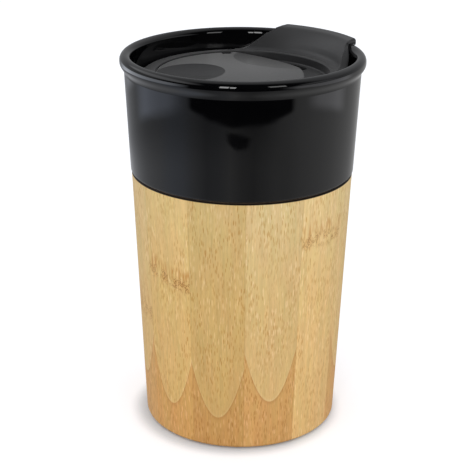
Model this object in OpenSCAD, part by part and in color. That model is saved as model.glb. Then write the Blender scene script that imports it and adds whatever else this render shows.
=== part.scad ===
// Ceramic and bamboo coffee cup with a push-in lid.
// The origin is the centre of the foot, +Z is up and the drinking spout points along +X.
// The lid is drawn seated, with its dial turned part of the way, as the cup is carried.

/* [Ceramic cup] */
// Outer diameter of the rolled rim
rim_d = 90; // [86:0.5:94]
// Height of the rim's top above the floor
cup_h = 143.7; // [138:0.1:156]
// Thickness of the rolled rim, seen in section
bead_d = 4.3; // [3.6:0.1:5]
// How far the rolled rim stands out beyond the band
bead_proud = 1.5; // [1.2:0.1:2]
// Height of the exposed band, with the rolled rim
band_h = 43.7; // [38:0.1:52]
// How much the band's radius shrinks down to its lower edge
band_draw = 1.9; // [1:0.1:3]
// Wall of the cup beside the lid
mouth_wall = 3.8; // [3:0.1:4.4]
// Wall of the slimmer cup inside the sleeve
liner_wall = 3.6; // [2.8:0.1:4.4]
// Thickness of the cup's bottom
bottom_t = 4.5; // [3:0.5:7]
// Depth of the lid's ledge below the top of the rim
ledge_drop = 12.2; // [11:0.1:16]
// Width of the ledge that carries the lid
ledge_w = 1.8; // [1.2:0.1:2.2]

/* [Bamboo sleeve] */
// How far the sleeve's face stays inside the band's lower edge
sleeve_step = 0.3; // [0.1:0.1:1]
// Lean of the sleeve's side, in degrees
sleeve_lean = 2.5; // [1.5:0.1:3.5]
// Thickness of the sleeve, both plies together
sleeve_wall = 6.7; // [5.8:0.1:7.4]
// Number of staves round the sleeve
stave_count = 12; // [10:1:14]
// Lean of the flat glue faces between the plies, in degrees
glue_lean = 1.1; // [0.6:0.1:1.6]
// Rounding of the sleeve's bottom edge
foot_round = 1.6; // [0.8:0.1:2.4]
// Chamfer of the sleeve's top edge
top_chamfer = 0.4; // [0.2:0.1:0.8]
// Thinnest edge that the turning leaves on an outer ply
feather_t = 0.15; // [0.1:0.05:0.3]
// Air gap between the ceramic and the bamboo
air_gap = 0.8; // [0.4:0.1:1.2]
// Thickness of the seal between the band and the sleeve
seal_t = 0.4; // [0.2:0.1:0.8]
// How far the seal stays back from the sleeve's face
seal_inset = 0.5; // [0.3:0.1:1]

/* [Foot] */
// Step of the rebate that takes the base disc, beyond the sleeve's bore
rebate_step = 0.9; // [0.5:0.1:1.5]
// Thickness of the bamboo base disc
disc_t = 6; // [4:0.5:8]
// Thickness of the non-slip pad
pad_t = 2; // [1:0.5:3]
// How far the pad stands below the sleeve
pad_proud = 0.4; // [0.2:0.1:0.8]
// Gap round the pad in its rebate
pad_gap = 1; // [0.5:0.1:2]

/* [Lid] */
// Height of the lid's ring above the ledge
ring_h = 5.3; // [4.8:0.1:5.8]
// Width of the lid's ring, from its outer edge to the pocket that takes the dial
ring_w = 7.3; // [6.2:0.1:9]
// Depth of the pocket below the ring's inner lip
pocket_depth = 3.4; // [3:0.1:3.6]
// Thickness of the lid's floor
lid_floor_t = 2.4; // [1.8:0.1:3]
// Clearance between the lid's ring and the cup
lid_gap = 0.4; // [0.3:0.05:0.6]
// Clearance between the lid's skirt and the cup
skirt_gap = 0.5; // [0.4:0.05:0.7]
// Depth of the skirt below the ledge
skirt_h = 10; // [9:0.5:13]
// Thickness of the skirt
skirt_t = 2.4; // [2.2:0.1:3]
// Height of the gasket's groove
groove_h = 4; // [3:0.5:4.5]
// Depth of the gasket's groove
groove_depth = 1.2; // [0.8:0.1:1.3]
// Clearance that the gasket's lips leave at the ceramic wall
gasket_gap = 0.1; // [0.05:0.05:0.2]

/* [Spout] */
// How far the spout's outer face stays inside the ring's outer edge, at its root
spout_setback = 0.7; // [0.4:0.1:1.2]
// Thickness of the spout at its root
spout_root_t = 3.4; // [3:0.1:3.8]
// Thickness of the spout where it passes over the rolled rim
spout_cover_t = 1; // [0.8:0.1:1.4]
// Thickness of the spout's rounded lip
spout_lip_t = 2.1; // [1.8:0.1:2.4]
// Direction of the lip from the middle of the rolled rim, in degrees above level
spout_lip_angle = 50.7; // [46:0.1:56]
// Clearance between the spout and the rolled rim
spout_gap = 0.35; // [0.3:0.05:0.5]
// Width of the spout at its root, across its inner face
spout_w = 48.6; // [40:0.2:50]
// Turn of the spout's ends out from its middle line, in degrees
spout_end_turn = 28; // [20:1:34]
// Lean of the spout's ends, in degrees from upright
spout_end_lean = 51.5; // [45:0.5:55]
// Width of the spout's lip
spout_lip_w = 35.6; // [32:0.2:37]
// Turn of the lip's ends in towards the middle line, in degrees
spout_lip_turn = 8; // [0:1:10]
// Rounding of the spout's upper corners
spout_corner_r = 14; // [8:0.5:16]
// Width of the sip slot
slot_w = 5.4; // [4.6:0.2:5.6]
// Gap from the slot to the pocket's wall
slot_inset = 1.5; // [0.8:0.1:1.5]
// Half angle of the sip slot, without its round ends
slot_half_angle = 6; // [6:1:12]
// Diameter of the air vent
vent_d = 1.8; // [1.2:0.1:2]

/* [Dial] */
// Clearance round the dial
dial_gap = 0.3; // [0.2:0.05:0.5]
// Running gap under the dial and over its retainer
dial_lift = 0.3; // [0.2:0.05:0.4]
// Thickness of the dial at its edge
dial_edge_t = 2.6; // [2.2:0.1:2.8]
// Rise of the dial's crown over its edge
dial_crown = 1; // [0.6:0.1:1.4]
// Turn of the dial from its fully open position
dial_turn = -27.6; // [-80:0.1:0]
// How much larger the radius of the crescent's edge is than the dial's
crescent_bulge = 6.5; // [4:0.5:10]
// Widest opening that the crescent leaves
crescent_w = 10.3; // [8:0.1:12]
// Diameter of the dial's hub
hub_d = 9; // [7:0.5:11]
// Running clearance of the hub in the lid's floor
hub_gap = 0.05; // [0.02:0.01:0.1]
// Width of the thumb dish across the dial's face
dish_d = 29; // [20:0.5:30]
// Thickness left between the thumb dish and the seat of the silicone pad
dish_web = 0.35; // [0.3:0.05:1]
// Thickness of the silicone pad under the dial
dial_pad_t = 1.2; // [0.8:0.1:1.4]

/* [Hidden] */
$fn = 120;
arc_steps = 8;
bead_steps = 20;
u_steps = 8;
overrun = 1;

// Ceramic cup
band_z = cup_h - band_h;
neck_z = cup_h - bead_d;
ledge_z = cup_h - ledge_drop;
seat_z = pad_t + disc_t;
floor_z = seat_z + bottom_t;
band_top_r = rim_d / 2 - bead_proud;
band_foot_r = band_top_r - band_draw;
mouth_r = band_top_r - mouth_wall;
bead_c = [rim_d / 2 - bead_d / 2, cup_h - bead_d / 2];
band_edge_r = 0.8;
neck_fillet_r = 1.4;
neck_reach = band_top_r + neck_fillet_r - bead_c.x;
neck_drop = sqrt(pow(bead_d / 2 + neck_fillet_r, 2) - neck_reach * neck_reach);
neck_c = bead_c + [neck_reach, -neck_drop];
neck_angle = atan2(neck_drop, -neck_reach);
mouth_flare_angle = 15;
ledge_edge_r = 0.5;
shoulder_rise = 8;
shoulder_drop = 6;
inner_fillet_r = 9;
liner_foot_r = 2;
foot_ring_w = 5;
foot_ring_h = 1;
foot_clear = 1.5;

// Sleeve
sleeve_h = band_z - seal_t;
sleeve_top_r = band_foot_r - sleeve_step;
// Share of the wall that each outer ply takes at the top, and of the common lean that it has
ply_shares = [0.77, 0.94, 0.8, 0.81, 0.78, 0.84, 0.94, 0.79, 0.83, 0.79, 0.82, 0.82];
lean_shares = [1, 0, 1.2, 0.9, 1, 1.1, 0, 0.9, 1, 1.1, 1, 0.95];
// Direction of the first joint between staves
stave_start_angle = -132.7;
stave_angle = 360 / stave_count;
rebate_r = bore_r(seat_z) + rebate_step;
pad_edge_r = pad_t / 4;

// Lid
lip_z = ledge_z + ring_h;
pocket_z = lip_z - pocket_depth;
underside_z = pocket_z - lid_floor_t;
skirt_z = ledge_z - skirt_h;
ring_r = mouth_r - lid_gap;
pocket_r = ring_r - ring_w;
skirt_r = throat_r(skirt_z) - skirt_gap;
ring_flank_h = 1.8;
ring_crest_w = 2.7;
ring_crest_drop = 0.5;
ring_bow = 0.7;
lip_edge_r = 0.5;
pocket_fillet_r = 0.6;
skirt_edge_r = 0.6;
groove_rise = 2.6;
groove_z = skirt_z + groove_rise;
gasket_lip_t = 0.8;
slot_r = pocket_r - slot_inset - slot_w / 2;
vent_angle = 57;
vent_r = pocket_r - vent_d - dial_gap;
spout_crest_angle = 131;
spout_top_gap = 0.15;
clear_r = bead_d / 2 + spout_gap;
cover_r = clear_r + spout_cover_t;
spout_lip_c = bead_c + (clear_r + spout_lip_t / 2) * [cos(spout_lip_angle), sin(spout_lip_angle)];
spout_root = [ring_r - spout_setback, lip_z + ring_crest_drop];
spout_top_z = spout_lip_c.y + spout_lip_t / 2 + spout_top_gap;

// Dial
dial_r = pocket_r - dial_gap;
dial_z = pocket_z + dial_lift;
dial_edge_z = dial_z + dial_edge_t;
crown_r = (dial_r * dial_r + dial_crown * dial_crown) / (2 * dial_crown);
crescent_r = dial_r + crescent_bulge;
crescent_x = dial_r - crescent_w - crescent_r;
pad_proud_t = 0.25;
pad_recess = dial_pad_t - pad_proud_t;
pad_gap_z = dial_lift - pad_proud_t;
pad_first_angle = 89;
pad_last_angle = 176;
dish_depth = dial_edge_t + dial_crown / 2 - pad_recess - dish_web;
dish_r = (dish_d * dish_d / 4 + dish_depth * dish_depth) / (2 * dish_depth);
dish_inset = 11.3;
dish_angle = 171;
ramp_d = 67;
ramp_outset = 14.1;
ramp_angle = 37.4;
ramp_depth = 1.7;
ramp_r = (ramp_d * ramp_d / 4 + ramp_depth * ramp_depth) / (2 * ramp_depth);
notch_w = 3.6;
notch_depth = 3.8;
hub_r = hub_d / 2;
stem_step = 1.2;
stem_r = hub_r - stem_step;
retainer_t = 1.8;
retainer_w = 3.6;

function flat(lists) = [for (list = lists) for (item = list) item];

// The points of a curve without its last one, where the next curve starts there
function open(points) = [for (i = [0 : len(points) - 2]) points[i]];

// Points of an arc round a centre
function arc(c, r, a, b, steps = arc_steps) = [
    for (i = [0 : steps])
        c + r * [cos(a + (b - a) * i / steps), sin(a + (b - a) * i / steps)]
];

// Points of a shallow bow from p to q that stands out by h, to the left of the way
function bow(p, q, h) = let (d = (q - p) / norm(q - p), n = [-d.y, d.x]) [
    for (i = [0 : arc_steps])
        let (t = i / arc_steps) p + (q - p) * t + 4 * t * (1 - t) * h * n
];

function mix(a, b, t) = a + (b - a) * t;
function ease(t) = (1 - cos(180 * min(max(t, 0), 1))) / 2;

// Radii of the tapered walls at a height
function sleeve_r(z) = sleeve_top_r - (sleeve_h - z) * tan(sleeve_lean);
function bore_r(z) = sleeve_r(z) - sleeve_wall;
function liner_r(z) = bore_r(z) - air_gap;
function band_r(z) = mix(band_foot_r, band_top_r, (z - band_z) / (neck_z - band_z));
function throat_r(z) = mouth_r - ledge_w - band_r(ledge_z) + band_r(z);
function shoulder_t(z) = ease((z - band_z + shoulder_drop) / (shoulder_rise + shoulder_drop));
function inside_r(z) = mix(liner_r(z) - liner_wall, throat_r(z), shoulder_t(z));

// Points that round the corner at p by r, between the directions a and b of its two faces' normals
function corner(p, r, a, b) = let (c = p - r * [cos(a) + cos(b), sin(a) + sin(b)]) arc(c, r, a, b);

module at_angle(a, r) {
    rotate([0, 0, a]) translate([r, 0, 0]) children();
}

// A sector of a ring, as a flat shape
module ring_sector(r_in, r_out, a, b) {
    function rim(r, from, to) = [
        for (i = [0 : 4 * arc_steps])
            let (angle = from + (to - from) * i / (4 * arc_steps)) r * [cos(angle), sin(angle)]
    ];
    polygon(concat(rim(r_out, a, b), rim(r_in, b, a)));
}

// Half section of the ceramic cup, from its foot up the outside and over the rolled rim
function cup_outer_points() = flat([
    [
        [0, seat_z + foot_ring_h],
        [liner_r(seat_z) - foot_clear - foot_ring_w, seat_z + foot_ring_h],
        [liner_r(seat_z) - foot_clear - foot_ring_w + foot_ring_h, seat_z]
    ],
    corner([liner_r(seat_z), seat_z], liner_foot_r, -90, 0),
    [
        [liner_r(sleeve_h), sleeve_h],
        [liner_r(sleeve_h), band_z]
    ],
    corner([band_r(band_z), band_z], band_edge_r, -90, 0),
    arc(neck_c, neck_fillet_r, 180, neck_angle),
    arc(bead_c, bead_d / 2, neck_angle - 180 + 180 / bead_steps, 180 - mouth_flare_angle, bead_steps)
]);

// The rest of that half section, down the inside from the mouth to the middle of the bottom
function cup_inner_points() = let (top = cup_outer_points()[len(cup_outer_points()) - 1]) flat([
    [
        [mouth_r, top.y - (top.x - mouth_r) / tan(mouth_flare_angle)],
        [mouth_r, ledge_z]
    ],
    arc([throat_r(ledge_z) + ledge_edge_r, ledge_z - ledge_edge_r], ledge_edge_r, 90, 180),
    [
        for (i = [0 : 2 * arc_steps])
            let (z = mix(band_z + shoulder_rise, band_z - shoulder_drop, i / (2 * arc_steps)))
            [inside_r(z), z]
    ],
    [
        for (i = [0 : arc_steps])
            let (a = 90 * i / arc_steps)
            [
                inside_r(floor_z + inner_fillet_r) - inner_fillet_r * (1 - cos(a)),
                floor_z + inner_fillet_r * (1 - sin(a))
            ]
    ],
    [[0, floor_z]]
]);

module ceramic_cup() {
    color([0.04, 0.04, 0.045]) rotate_extrude()
        polygon(concat(cup_outer_points(), cup_inner_points()));
}

// The glued and turned sleeve, with its taper, rounded foot and the rebate for the base disc
module sleeve_blank() {
    rotate_extrude($fn = 360) polygon(flat([
        [[rebate_r, pad_proud]],
        corner([sleeve_r(pad_proud), pad_proud], foot_round, -90, 0),
        [
            [sleeve_r(sleeve_h - top_chamfer), sleeve_h - top_chamfer],
            [sleeve_r(sleeve_h) - top_chamfer, sleeve_h],
            [bore_r(sleeve_h), sleeve_h],
            [bore_r(seat_z), seat_z],
            [rebate_r, seat_z]
        ]
    ]));
}

function stave_direction(i) = stave_start_angle + (i - 0.5) * stave_angle;

function lean(i) = glue_lean * lean_shares[(i - 1) % len(lean_shares)];

// How fast the outer ply of a stave gets thinner downwards
function ply_taper(i) = tan(sleeve_lean) + tan(lean(i));

// Height of the lowest point of a stave's outer ply
function tip_z(i) =
    sleeve_h - (ply_shares[(i - 1) % len(ply_shares)] * sleeve_wall - feather_t) / ply_taper(i);

// Space of a stave's outer ply, on +X. Its back is the flat glue face. The turned taper runs out
// through that face on a hyperbola, the curve where the cone keeps a set distance from the face,
// so the ply ends in a U with an edge that is feather_t thick.
module outer_ply_space(i) {
    edge_r = sleeve_r(tip_z(i));
    half = sleeve_top_r * tan(stave_angle / 2);
    hyperbola = [
        for (j = [-u_steps : u_steps])
            let (y = half * sign(j) * pow(j / u_steps, 2))
            [y, (norm([edge_r, y]) - edge_r) / ply_taper(i)]
    ];
    top = [half, sleeve_h - tip_z(i) + overrun];
    translate([edge_r - feather_t, 0, tip_z(i)]) rotate([0, -lean(i), 0])
        rotate([90, 0, 90]) linear_extrude(rim_d)
        polygon(concat(hyperbola, [top, [-top.x, top.y]]));
}

// The part of the sleeve that lies in one stave, turned to +X
module stave_blank() {
    reach = rim_d;
    half = reach * tan(stave_angle / 2);
    intersection() {
        sleeve_blank();
        translate([0, 0, -overrun]) linear_extrude(sleeve_h + 2 * overrun)
            polygon([[0, 0], [reach, -half], [reach, half]]);
    }
}

module stave_outer(i) {
    color([0.85, 0.71, 0.5]) rotate([0, 0, stave_direction(i)]) intersection() {
        stave_blank();
        outer_ply_space(i);
    }
}

module stave_inner(i) {
    color([0.8, 0.6, 0.36]) rotate([0, 0, stave_direction(i)]) difference() {
        stave_blank();
        outer_ply_space(i);
    }
}

module joint_seal() {
    color([0.08, 0.07, 0.06]) translate([0, 0, sleeve_h]) difference() {
        cylinder(r = sleeve_r(sleeve_h) - seal_inset, h = seal_t);
        translate([0, 0, -overrun]) cylinder(r = bore_r(sleeve_h), h = seal_t + 2 * overrun);
    }
}

module base_disc() {
    color([0.83, 0.67, 0.44]) translate([0, 0, pad_t]) cylinder(r = rebate_r, h = disc_t);
}

module foot_pad() {
    color([0.12, 0.12, 0.12]) rotate_extrude() polygon(flat([
        [[0, 0]],
        corner([rebate_r - pad_gap, 0], pad_edge_r, -90, 0),
        [[rebate_r - pad_gap, pad_t], [0, pad_t]]
    ]));
}

// Half section of the lid's ring, floor and skirt
module lid_section() {
    polygon(flat([
        [
            [0, underside_z],
            [skirt_r - skirt_t, underside_z],
            [skirt_r - skirt_t, skirt_z],
            [skirt_r - skirt_edge_r, skirt_z],
            [skirt_r, skirt_z + skirt_edge_r],
            [skirt_r, groove_z],
            [skirt_r - groove_depth, groove_z],
            [skirt_r - groove_depth, groove_z + groove_h],
            [skirt_r, groove_z + groove_h],
            [skirt_r, ledge_z],
            [ring_r, ledge_z]
        ],
        bow(
            [ring_r, ledge_z + ring_flank_h],
            [ring_r - ring_crest_w, lip_z - ring_crest_drop],
            -ring_bow
        ),
        arc([pocket_r + lip_edge_r, lip_z - lip_edge_r], lip_edge_r, 90, 180),
        arc([pocket_r - pocket_fillet_r, pocket_z + pocket_fillet_r], pocket_fillet_r, 0, -90),
        [[0, pocket_z]]
    ]));
}

// Half section of the spout. The outer face leans out beside the rolled rim and wraps over it at a
// set clearance, up to the rounded lip beyond the rim. The inner face bows up to the cover over
// the rim and runs straight on to the lip.
module spout_section() {
    way = bead_c - spout_root;
    touch_angle = atan2(way.y, way.x) + asin(clear_r / norm(way)) + 90;
    crown_angle = spout_lip_angle + acos((cover_r - spout_lip_t / 2) / (clear_r + spout_lip_t / 2));
    foot = [spout_root.x - spout_root_t, lip_z];
    crest = bead_c + cover_r * [cos(spout_crest_angle), sin(spout_crest_angle)];
    climb = atan2(crest.y - foot.y, crest.x - foot.x);
    polygon(flat([
        [[spout_root.x, ledge_z + ring_flank_h], [foot.x, ledge_z + ring_flank_h]],
        open(bow(foot, crest, norm(crest - foot) / 4 * tan(climb + 90 - spout_crest_angle))),
        arc(bead_c, cover_r, spout_crest_angle, crown_angle, arc_steps / 2),
        open(arc(spout_lip_c, spout_lip_t / 2, crown_angle, spout_lip_angle - 180, 2 * arc_steps)),
        arc(bead_c, clear_r, spout_lip_angle, touch_angle, arc_steps),
        [spout_root]
    ]));
}

// Outline that cuts one end of the spout: it leans towards the middle, with a rounded corner at
// the lip. Its sideways distances are those of a front view that is turned with that end.
module spout_end_outline() {
    foot_r = spout_root.x - spout_root_t;
    foot_angle = asin(spout_w / 2 / foot_r);
    foot = [foot_r * sin(foot_angle - spout_end_turn), lip_z];
    top = [foot.x - (spout_top_z - foot.y) * tan(spout_end_lean), spout_top_z];
    tangent = spout_corner_r * tan((90 - spout_end_lean) / 2);
    polygon(flat([
        [[-rim_d, ledge_z], [foot.x, ledge_z], foot],
        arc([top.x - tangent, top.y - spout_corner_r], spout_corner_r, spout_end_lean, 90),
        [[-rim_d, top.y]]
    ]));
}

// Outline that trims one end of the lip: it is upright there and leans outwards below
module spout_lip_outline() {
    lip_angle = asin(spout_lip_w / 2 / spout_lip_c.x);
    knee = [spout_lip_c.x * sin(lip_angle + spout_lip_turn), spout_lip_c.y - spout_lip_t / 4];
    edge_r = spout_lip_t / 2;
    polygon(flat([
        [[-rim_d, ledge_z], [knee.x + (knee.y - ledge_z) * tan(spout_end_lean), ledge_z], knee],
        arc([knee.x - edge_r, spout_top_z - edge_r], edge_r, 0, 90),
        [[-rim_d, spout_top_z]]
    ]));
}

// Both cuts at one end of the spout
module spout_end_space() {
    intersection() {
        rotate([90, 0, 90 + spout_end_turn]) linear_extrude(rim_d) spout_end_outline();
        rotate([90, 0, 90 - spout_lip_turn]) linear_extrude(rim_d) spout_lip_outline();
    }
}

module spout() {
    intersection() {
        rotate([0, 0, -60]) rotate_extrude(angle = 120) spout_section();
        spout_end_space();
        mirror([0, 1, 0]) spout_end_space();
    }
}

// Curved slot with round ends
module sip_slot() {
    function side(r, a, b) = [
        for (i = [0 : arc_steps]) let (angle = mix(a, b, i / arc_steps)) r * [cos(angle), sin(angle)]
    ];
    function end(angle, a) = arc(
        slot_r * [cos(angle), sin(angle)], slot_w / 2, angle + a, angle + a + 180
    );
    translate([0, 0, underside_z - overrun]) linear_extrude(lid_floor_t + 2 * overrun) polygon(flat([
        open(side(slot_r + slot_w / 2, -slot_half_angle, slot_half_angle)),
        open(end(slot_half_angle, 0)),
        open(side(slot_r - slot_w / 2, slot_half_angle, -slot_half_angle)),
        open(end(-slot_half_angle, 180))
    ]));
}

module lid_body() {
    color([0.1, 0.1, 0.1]) difference() {
        union() {
            rotate_extrude() lid_section();
            spout();
        }
        sip_slot();
        at_angle(vent_angle, vent_r) translate([0, 0, underside_z - overrun])
            cylinder(d = vent_d, h = lid_floor_t + 2 * overrun);
        translate([0, 0, underside_z - overrun])
            cylinder(r = hub_r + hub_gap, h = lid_floor_t + 2 * overrun);
    }
}

// Ring with two lips that press on the ceramic wall
module lid_gasket() {
    root_r = skirt_r - groove_depth;
    body_r = skirt_r - groove_depth / 4;
    lower_z = groove_z + groove_h / 4;
    upper_z = groove_z + 3 * groove_h / 4;
    color([0.16, 0.16, 0.16]) rotate_extrude() polygon([
        [root_r, groove_z],
        [body_r, groove_z],
        [throat_r(lower_z) - gasket_gap, lower_z],
        [body_r, lower_z + gasket_lip_t],
        [body_r, upper_z - gasket_lip_t / 2],
        [throat_r(upper_z) - gasket_gap, upper_z],
        [body_r, groove_z + groove_h],
        [root_r, groove_z + groove_h]
    ]);
}

// The dial's own shape, with the crescent's widest place on +X
module dial_shape() {
    difference() {
        intersection() {
            translate([0, 0, dial_z]) cylinder(r = dial_r, h = dial_edge_t + 2 * dial_crown);
            translate([crescent_x, 0, dial_z - overrun])
                cylinder(r = crescent_r, h = dial_edge_t + 2 * dial_crown + 2 * overrun);
            translate([0, 0, dial_edge_z + dial_crown - crown_r]) sphere(r = crown_r, $fn = 400);
        }
        at_angle(dish_angle, dial_r - dish_inset)
            translate([0, 0, dial_edge_z + dial_crown / 2 - dish_depth + dish_r])
            sphere(r = dish_r, $fn = 240);
        at_angle(ramp_angle, dial_r + ramp_outset)
            translate([0, 0, dial_edge_z + dial_crown - ramp_depth + ramp_r])
            sphere(r = ramp_r, $fn = 400);
        rotate([0, 0, vent_angle - dial_turn]) translate([dial_r, 0, dial_z - overrun])
            linear_extrude(dial_edge_t + 2 * dial_crown + 2 * overrun)
            polygon([[-notch_depth, 0], [overrun, -notch_w / 2], [overrun, notch_w / 2]]);
        dial_pad_space();
    }
    hub_z = underside_z - dial_lift;
    translate([0, 0, hub_z]) cylinder(r = hub_r, h = dial_z - hub_z);
    translate([0, 0, hub_z - retainer_t]) cylinder(r = stem_r, h = retainer_t);
}

// Shallow seat for the silicone pad in the dial's underside
module dial_pad_space() {
    translate([0, 0, dial_z - overrun]) linear_extrude(overrun + pad_recess) dial_pad_outline();
}

module dial_pad_outline() {
    ring_sector(
        slot_r - slot_w / 2 - slot_inset, slot_r + slot_w / 2 + slot_inset - dial_gap * 2,
        pad_first_angle, pad_last_angle
    );
}

module dial() {
    color([0.13, 0.13, 0.13]) rotate([0, 0, dial_turn]) dial_shape();
}

module dial_seal() {
    color([0.2, 0.2, 0.2]) rotate([0, 0, dial_turn]) translate([0, 0, pocket_z + pad_gap_z])
        linear_extrude(dial_pad_t) dial_pad_outline();
}

module dial_retainer() {
    color([0.15, 0.15, 0.15]) translate([0, 0, underside_z - dial_lift - retainer_t]) difference() {
        cylinder(r = hub_r + retainer_w, h = retainer_t);
        translate([0, 0, -overrun]) cylinder(r = stem_r, h = retainer_t + 2 * overrun);
    }
}

function stave_name(ply, i) = str("stave_", ply, "_", i < 10 ? "0" : "", i);

ceramic_cup();
joint_seal();
base_disc();
foot_pad();
for (i = [1 : stave_count]) {
    stave_outer(i);
    stave_inner(i);
}
lid_body();
lid_gasket();
dial();
dial_seal();
dial_retainer();
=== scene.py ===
import math

import bpy
from mathutils import Matrix, Vector


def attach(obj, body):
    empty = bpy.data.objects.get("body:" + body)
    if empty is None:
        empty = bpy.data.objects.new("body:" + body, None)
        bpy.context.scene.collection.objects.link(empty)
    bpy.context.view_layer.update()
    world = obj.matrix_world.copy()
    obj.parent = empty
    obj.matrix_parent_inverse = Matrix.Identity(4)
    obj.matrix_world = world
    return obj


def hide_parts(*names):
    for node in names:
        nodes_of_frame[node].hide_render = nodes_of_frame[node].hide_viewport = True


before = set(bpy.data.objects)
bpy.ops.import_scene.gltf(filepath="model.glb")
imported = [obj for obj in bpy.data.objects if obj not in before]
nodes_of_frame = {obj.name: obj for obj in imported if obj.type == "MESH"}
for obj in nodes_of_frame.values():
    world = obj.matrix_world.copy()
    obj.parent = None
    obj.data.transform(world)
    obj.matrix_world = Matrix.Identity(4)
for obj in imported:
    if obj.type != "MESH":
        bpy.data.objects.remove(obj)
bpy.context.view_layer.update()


# Ceramic cup
# One slip-cast body, fired with a black glaze: a rolled rim, the exposed band, the ledge that
# carries the lid, and the slimmer cup that stands inside the sleeve on the base disc.
MM = 0.001
cup_h = 143.7
rim_r = 45.0
bead_r = 2.15
bead_low_z = 140.9
neck_z = 137.1
neck_r = 43.39
band_top_z = cup_h - 2 * bead_r
band_top_r = 43.5
band_foot_r = 41.6
band_z = 100.0
mouth_r = 39.7
mouth_foot_z = 134.2
ledge_z = 131.5
throat_r = 37.9
throat_foot_z = 120.0
liner_r = 33.8
liner_inside_r = 30.2
liner_draw = 0.04366
shoulder_rise = 8
shoulder_drop = 6
floor_z = 12.5
floor_corner_r = 9
foot_r = 29.8
foot_ring_inner_r = 24.3
foot_ring_h = 1.0
seat_z = 8.0


def arc(centre, radius, start, end, steps):
    """Points of an arc in a turned outline, from one angle to another, in degrees."""
    return [
        (
            centre[0] + radius * math.cos(math.radians(start + (end - start) * i / steps)),
            centre[1] + radius * math.sin(math.radians(start + (end - start) * i / steps)),
        )
        for i in range(steps + 1)
    ]


def rounded(points, steps):
    """An outline of (r, z) or (r, z, rounding) points, with its corners rounded."""
    outline = []
    last = len(points) - 1
    for i, point in enumerate(points):
        here = Vector(point[:2])
        if len(point) < 3 or i in (0, last):
            outline.append(tuple(here))
            continue
        back = (Vector(points[i - 1][:2]) - here).normalized()
        on = (Vector(points[i + 1][:2]) - here).normalized()
        half = back.angle(on) / 2
        centre = here + (back + on).normalized() * point[2] / math.sin(half)
        start = here + back * point[2] / math.tan(half) - centre
        end = here + on * point[2] / math.tan(half) - centre
        turn = start.angle_signed(end)
        for j in range(steps + 1):
            outline.append(tuple(centre + Matrix.Rotation(-turn * j / steps, 2) @ start))
    return outline


def drawn(name, outline, across=(1, 0), start=0.0):
    """Draws an outline of (across, z) points in millimetres, vertex by vertex, as a new mesh."""
    bpy.ops.object.select_all(action="DESELECT")
    bpy.ops.mesh.primitive_plane_add(size=MM, location=(start * MM, 0, 0))
    piece = bpy.context.object
    piece.name = name
    bpy.ops.object.mode_set(mode="EDIT")
    bpy.ops.mesh.merge(type="CENTER")
    place = Vector((0, 0))
    for number, point in enumerate(outline):
        step = (Vector(point) - place) * MM
        move = (step.x * across[0], step.x * across[1], step.y)
        if number == 0:
            bpy.ops.transform.translate(value=move)
        else:
            bpy.ops.mesh.extrude_region_move(TRANSFORM_OT_translate={"value": move})
        place = Vector(point)
    bpy.ops.mesh.select_all(action="SELECT")
    return piece


def turned(name, outline, steps=192):
    """Turns an outline of (r, z) points in millimetres about the upright axis."""
    piece = drawn(name, outline)
    bpy.ops.mesh.spin(
        steps=steps, angle=math.tau, center=(0, 0, 0), axis=(0, 0, 1), use_auto_merge=True
    )
    bpy.ops.mesh.select_all(action="SELECT")
    bpy.ops.mesh.remove_doubles(threshold=0.002 * MM)
    bpy.ops.mesh.normals_make_consistent(inside=False)
    bpy.ops.object.mode_set(mode="OBJECT")
    settle(piece)
    return piece


def select_only(piece):
    """Selects one piece alone and makes it the active one, as the operators need."""
    bpy.ops.object.select_all(action="DESELECT")
    piece.select_set(True)
    bpy.context.view_layer.objects.active = piece


def settle(piece, smooth_angle=35):
    """Puts a finished piece's place in its mesh, and smooths all but its sharp edges."""
    select_only(piece)
    bpy.ops.object.transform_apply(location=True, rotation=True, scale=True)
    bpy.ops.object.shade_smooth_by_angle(angle=math.radians(smooth_angle))


def ease(share):
    """Turns a share of a way into one that starts and ends gently."""
    share = min(max(share, 0), 1)
    return (1 - math.cos(math.pi * share)) / 2


def inside_r(z):
    """Radius of the cup's inside, which narrows at the shoulder behind the sleeve's top edge."""
    band_draw = (band_top_r - band_foot_r) / (band_top_z - band_z)
    upper = throat_r + (z - ledge_z) * band_draw
    lower = liner_inside_r + (z - band_z) * liner_draw
    share = ease((z - band_z + shoulder_drop) / (shoulder_rise + shoulder_drop))
    return lower + (upper - lower) * share


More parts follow.
